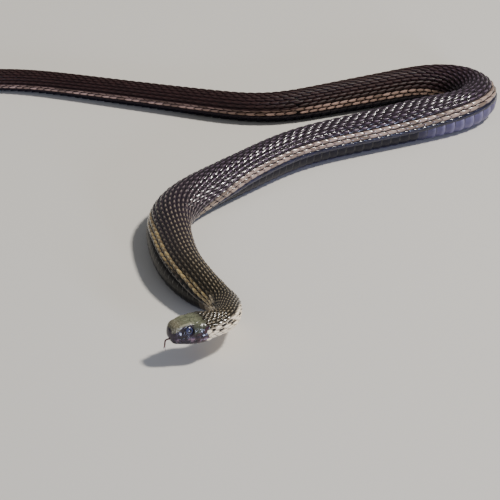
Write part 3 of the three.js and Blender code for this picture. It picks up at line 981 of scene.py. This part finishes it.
def scale_lift(root_place, root_around, step):
    """Heights of every scale's points: a sloping, domed, keeled leaf, lower and plainer near the belly."""
    low = smooth(turn_of(root_around), *LOW_ROWS.start)
    thick = SCALE.thickness * step * (1 - LOW_ROWS.thinner * low)
    slope = SLOPE.start + SLOPE.rise * (1 - (1 - scale_along) ** 2)
    slope = slope - SLOPE.tip * smooth(scale_along, SLOPE.tip_start, 1.0)
    dome = DOME.height * (1 - scale_across**2) * (1 - DOME.flatter * scale_along**4)
    keeled = KEEL.height - KEEL.less * smooth(root_place, *KEEL.less_from)
    keeled = keeled * (1 - LOW_ROWS.less_keeled * low)
    ridge = keeled[:, None] * bell(scale_across / KEEL.width) * smooth(scale_along, *KEEL.start)
    lift = thick[:, None] * (slope + dome + ridge) - SCALE.depth
    return np.where(scale_rim, SCALE.rim, lift)


def set_scales(name, start, end):
    number, root_around, between = scale_roots(start, end).T
    root_place = place_of(number)
    step = through(STEP, root_place)
    size = 1 + SCALE.varies * (chance_of.random(len(number)) - 0.5)
    place = root_place[:, None] + (step * SCALE.length * size)[:, None] * (scale_along - SCALE.root)
    place = np.minimum(place, COAT_END)
    around = root_around[:, None] + (between * SCALE.overlap / 2)[:, None] * scale_side
    lift = scale_lift(root_place, root_around, step) + SKIN_SINK - skin_sink(place)
    turned = SCALE.turns * around + (1 - SCALE.turns) * root_around[:, None]
    keel = bell(scale_across / KEEL_MARK.width) * band(scale_along, *KEEL_MARK.reach)
    heart = 1 - smooth(np.abs(scale_across), *HEART.across)
    heart = heart * (1 - smooth(scale_along, *HEART.along))
    values = {"turn": turn_of(turned), "keel": keel[None, :], "heart": heart[None, :]}
    roots = (root_place, root_around)
    copies(name, scale_faces, (place, around, lift), roots, values, scale_material)


scale_material = scale_paint("keeled_scales", SCALE_FINISH)
set_scales("scales_neck", 0, 80)
set_scales("scales_front", 80, 290)
set_scales("scales_rear", 290, 520)
set_scales("scales_hind", 520, LENGTH)

# %% [markdown]
# ## Belly plates
# Under the body each step has one plate as wide as the belly, smooth, with a free hind edge that laps over
# the next one. Behind the vent they are paired. A plate is a wider leaf than a scale, with square ends.

# %% Set the belly plates
PLATE_COLUMNS = (-1.0, -0.97, -0.8, -0.6, -0.4, -0.2, 0.0, 0.2, 0.4, 0.6, 0.8, 0.97, 1.0)
PLATE_ROWS = (0.0, 0.3, 0.65, 0.9, 0.98, 1.0)
PLATES_START = 19.0
PLATE_REACH = math.radians(BELLY_HALF_ANGLE + 5.0)
PLATE = Named(
    lap=1.22, root=0.1, swept=0.14, thickness=0.075, start=-0.6, rise=1.5,
    depth=0.14, rim=-0.42, hind_edge=(0.75, 0.95),
)
# A pair of tail plates: how far out each is set, its half width, and how far one side lags behind
PAIR = Named(middle=0.48, half=0.47, behind=0.25)
# No plate is coloured as flank, and its patch on the map lies near the belly's middle or beside it
PLATE_TURN = 131.5
PLATE_ON_MAP = Named(whole=3.1, paired=0.9 * np.pi)


def plate_width(along):
    return 1 - 0.05 * (2 * along - 1.1) ** 2


def set_plates(name, start, end, halves):
    """Lay plates from one place to another, each set in the belly by its middle and half width."""
    across, side, along, rim, faces = leaf(PLATE_COLUMNS, PLATE_ROWS, plate_width)
    numbers = range(first_number(start), math.floor(np.interp(end, count_places, count)))
    laid = [(number + PAIR.behind * (middle > 0), middle, half)
            for middle, half in halves for number in numbers]
    number, middle, half = np.array(laid).T
    root_place = place_of(number)
    step = through(STEP, root_place)[:, None]
    place = root_place[:, None] + step * PLATE.lap * (along - PLATE.root)
    place = place - PLATE.swept * step * side**2 * (along > 0.5)
    place = np.minimum(place, COAT_END)
    around = np.pi + PLATE_REACH * (middle[:, None] + half[:, None] * side)
    around = around - 2 * np.pi * (middle[:, None] > 0)
    lift = PLATE.thickness * step * (PLATE.start + PLATE.rise * along) - PLATE.depth
    lift = np.where(rim, PLATE.rim, lift)
    turn = 180 - np.abs(180 - turn_of(around))
    values = {
        "turn": np.maximum(turn, PLATE_TURN),
        "keel": smooth(along, *PLATE.hind_edge)[None, :],
        "heart": 1 - rim.astype(float)[None, :],
    }
    root_around = np.where(middle == 0, PLATE_ON_MAP.whole, -PLATE_ON_MAP.paired * np.sign(middle))
    roots = (root_place, root_around)
    copies(name, faces, (place, around, lift), roots, values, plate_material)


plate_material = scale_paint("belly_plates", PLATE_FINISH)
PAIRED = [(side * PAIR.middle, PAIR.half) for side in (-1, 1)]
set_plates("plates_belly", PLATES_START, VENT, [(0.0, 1.0)])
set_plates("plates_tail", VENT, LENGTH - SPINE_LENGTH, PAIRED)

# %% [markdown]
# ## Eyes
# A snake has no lids. A clear scale lies over the eye, so it always looks wet. Each eye is a ball, deep in
# its socket, with a round, nearly black pupil and a dark blue-grey iris, under a clear coat. The blue of
# the pupil and iris is partly a painted reflection of the sky, and the ball darkens towards its edge as
# painted shade.

# %% Make the eyes
EYE_BALL = 2.32
EYE_SEGMENTS = 48
EYE_RINGS = 32
# How far the eye looks up, for each step outwards
EYE_LOOKS_UP = 0.22
PUPIL_RADIUS = 0.95
PUPIL_RING = 0.1
PUPIL_BLUR = 0.05
IRIS_EDGE = (1.2, 2.0)
# The blue of these inks is partly a painted reflection of the sky, and the rim ink is painted shade
EYE_INKS = Named(pupil="0a0b18", ring="3a3b55", iris="26273f", iris_light="4b4f76", rim="0b0910")


def eye_paint():
    paint = Paint("wet_eye")
    off, = paint.attributes("off_axis")
    iris = paint.mix(paint.noise(1800.0, 4.0, 0.7), EYE_INKS.iris, EYE_INKS.iris_light)
    ring = off.between(PUPIL_RADIUS, PUPIL_RADIUS + PUPIL_RING, PUPIL_BLUR)
    iris = paint.mix(ring, iris, EYE_INKS.ring)
    # Painted shade towards the ball's edge
    iris = paint.mix(off.rise(*IRIS_EDGE), iris, EYE_INKS.rim)
    outside_pupil = off.rise(PUPIL_RADIUS - PUPIL_BLUR, PUPIL_RADIUS + PUPIL_BLUR)
    colour = paint.mix(outside_pupil, EYE_INKS.pupil, iris)
    return paint.finish(Base_Color=colour, Roughness=0.22, Coat_Weight=0.4, Coat_Roughness=0.03)


def make_eye(hand, side, material):
    bm = bmesh.new()
    bmesh.ops.create_uvsphere(bm, u_segments=EYE_SEGMENTS, v_segments=EYE_RINGS, radius=EYE_BALL)
    centre = head_point(EYE.at, side * EYE.side, EYE.up)
    outward = head_point(0, side, EYE_LOOKS_UP) - head_point(0, 0, 0)
    outward = outward / np.linalg.norm(outward)
    layer = bm.verts.layers.float.new("off_axis")
    for vertex in bm.verts:
        spot = np.array(vertex.co)
        off = np.linalg.norm(spot - outward * (spot @ outward))
        vertex[layer] = off if spot @ outward > 0 else EYE_BALL
        vertex.co = (spot + centre + PLAN_SHIFT) * MM
    name = f"eye_ball_{hand}"
    new_piece(name, mesh_of(bm, name), material, [f"eye_{hand}"])


eye_material = eye_paint()
make_eye("left", 1, eye_material)
make_eye("right", -1, eye_material)

# %% [markdown]
# ## Tongue
# The tongue slips out under the middle of the snout, hangs down and parts into two tips. Each half is a
# tube drawn round the same stem, so that the two are one strip as far as the fork.

# %% Make the tongue
TONGUE = Named(
    width=0.43, thickness=0.32, root=2.1, length=5.6, fork=3.3, spread=1.1, level=-2.6,
    rings=36, sides=14,
)
TONGUE_BEND = Named(radius=1.15, hang=85)
TONGUE_TIP = Named(slim=0.72, length=1.9, thinned=0.72)
TONGUE_INKS = ("3a1020", "6b2436")
NUDGE = 0.05


def tongue_centre(along, fork):
    out = max(along - TONGUE.root, 0)
    bent = min(out / TONGUE_BEND.radius, math.radians(TONGUE_BEND.hang))
    straight = out - bent * TONGUE_BEND.radius
    ahead = TONGUE_BEND.radius * math.sin(bent) + straight * math.cos(bent)
    down = TONGUE_BEND.radius * (1 - math.cos(bent)) + straight * math.sin(bent)
    inside = max(TONGUE.root - along, 0)
    apart = TONGUE.spread * max(out - TONGUE.fork, 0) / (TONGUE.length - TONGUE.fork)
    return np.array([inside - ahead, fork * apart, TONGUE.level - down])


def tongue_mesh():
    bm = bmesh.new()
    total = TONGUE.root + TONGUE.length
    for fork in (-1, 1):
        made = bmesh.ops.create_cone(
            bm, cap_ends=True, segments=TONGUE.sides, radius1=1, radius2=1, depth=2)
        half = made["verts"]
        inner = [edge for edge in bm.edges if all(end in half for end in edge.verts)]
        upright = [edge for edge in inner if abs(edge.verts[0].co.z - edge.verts[1].co.z) > 1]
        bmesh.ops.subdivide_edges(bm, edges=upright, cuts=TONGUE.rings - 1)
        fresh = [vertex for vertex in bm.verts if not vertex.tag]
        for vertex in fresh:
            along = (vertex.co.z + 1) / 2 * total
            centre = tongue_centre(along, fork)
            ahead = tongue_centre(along + NUDGE, fork) - tongue_centre(along - NUDGE, fork)
            side = np.array([0.0, 1.0, 0.0])
            up = np.cross(side, ahead / np.linalg.norm(ahead))
            slim = TONGUE_TIP.slim if along > TONGUE.root + TONGUE.fork else 1.0
            near_tip = float(smooth(along, total - TONGUE_TIP.length, total))
            taper = slim * (1 - TONGUE_TIP.thinned * near_tip)
            spot = centre + side * taper * TONGUE.width * vertex.co.x
            spot = spot + up * taper * TONGUE.thickness * vertex.co.y
            vertex.co = (head_point(*spot) + PLAN_SHIFT) * MM
            vertex.tag = True
    bmesh.ops.recalc_face_normals(bm, faces=bm.faces)
    return mesh_of(bm, "tongue_strip")


def tongue_paint():
    paint = Paint("wet_tongue")
    colour = paint.mix(paint.noise(900.0), *TONGUE_INKS)
    return paint.finish(Base_Color=colour, Roughness=0.25, Coat_Weight=0.6, Coat_Roughness=0.1)


new_piece("tongue_strip", tongue_mesh(), tongue_paint(), ["tongue"])

# %% [markdown]
# ## Floor, light and camera
# A pale floor and soft light show a dark, wet animal best: a small, warm key high behind it puts a spark
# on each scale, a cool lamp low in front shines on the side of the head, and a broad, weak one fills the
# shadows. The camera looks down at 27 degrees from far away.

# %% Set the stage
FLOOR = Named(size=4, ink="d9d6cf", roughness=0.8)
# Each lamp's place and size in metres, its power in watts and its colour
LAMPS = {
    "key": ((1.4, 0.1, 1.95), 0.26, 62, "fffaf2"),
    "side": ((1.05, -2.0, 0.35), 0.4, 34, "ccd8ff"),
    "fill": ((-1.3, -0.9, 1.3), 1.0, 3, "f2f2ff"),
}
SKY = Named(ink="e8ecf2", strength=0.22)


def make_floor():
    bm = bmesh.new()
    bmesh.ops.create_grid(bm, x_segments=1, y_segments=1, size=FLOOR.size)
    floor = add_object("floor", mesh_of(bm, "floor"))
    paint = Paint("pale_floor")
    floor.data.materials.append(paint.finish(Base_Color=FLOOR.ink, Roughness=FLOOR.roughness))


def aim(thing, target):
    x, y, z = np.array(target) - np.array(thing.location)
    thing.rotation_euler = (math.pi / 2 + math.atan2(z, math.hypot(x, y)), 0, math.atan2(-x, y))


def make_light(name, place, size, power, tint):
    light = bpy.data.lights.new(name, "AREA")
    light.size = size
    light.energy = power
    light.color = ink(tint)[:3]
    thing = add_object(name, light)
    thing.location = place
    aim(thing, (0, 0, 0))


make_floor()
for lamp, settings in LAMPS.items():
    make_light(lamp, *settings)
world = bpy.data.worlds.new("studio")
world.use_nodes = True
sky = world.node_tree.nodes["Background"].inputs
sky["Color"].default_value = ink(SKY.ink)
sky["Strength"].default_value = SKY.strength
bpy.context.scene.world = world

# %% Set the camera
ELEVATION = math.radians(27)
DISTANCE = 2.4
FOCAL_PIXELS = 5280
FRAME_PIXELS = 500
SENSOR = 36.0
look_at = PLAN_SHIFT * MM
lens = bpy.data.cameras.new("camera")
lens.sensor_width = SENSOR
lens.lens = FOCAL_PIXELS / FRAME_PIXELS * SENSOR
camera = add_object("camera", lens)
camera.location = look_at + DISTANCE * np.array([0, -math.cos(ELEVATION), math.sin(ELEVATION)])
aim(camera, look_at)
bpy.context.scene.camera = camera
print("lens", round(lens.lens), "mm")
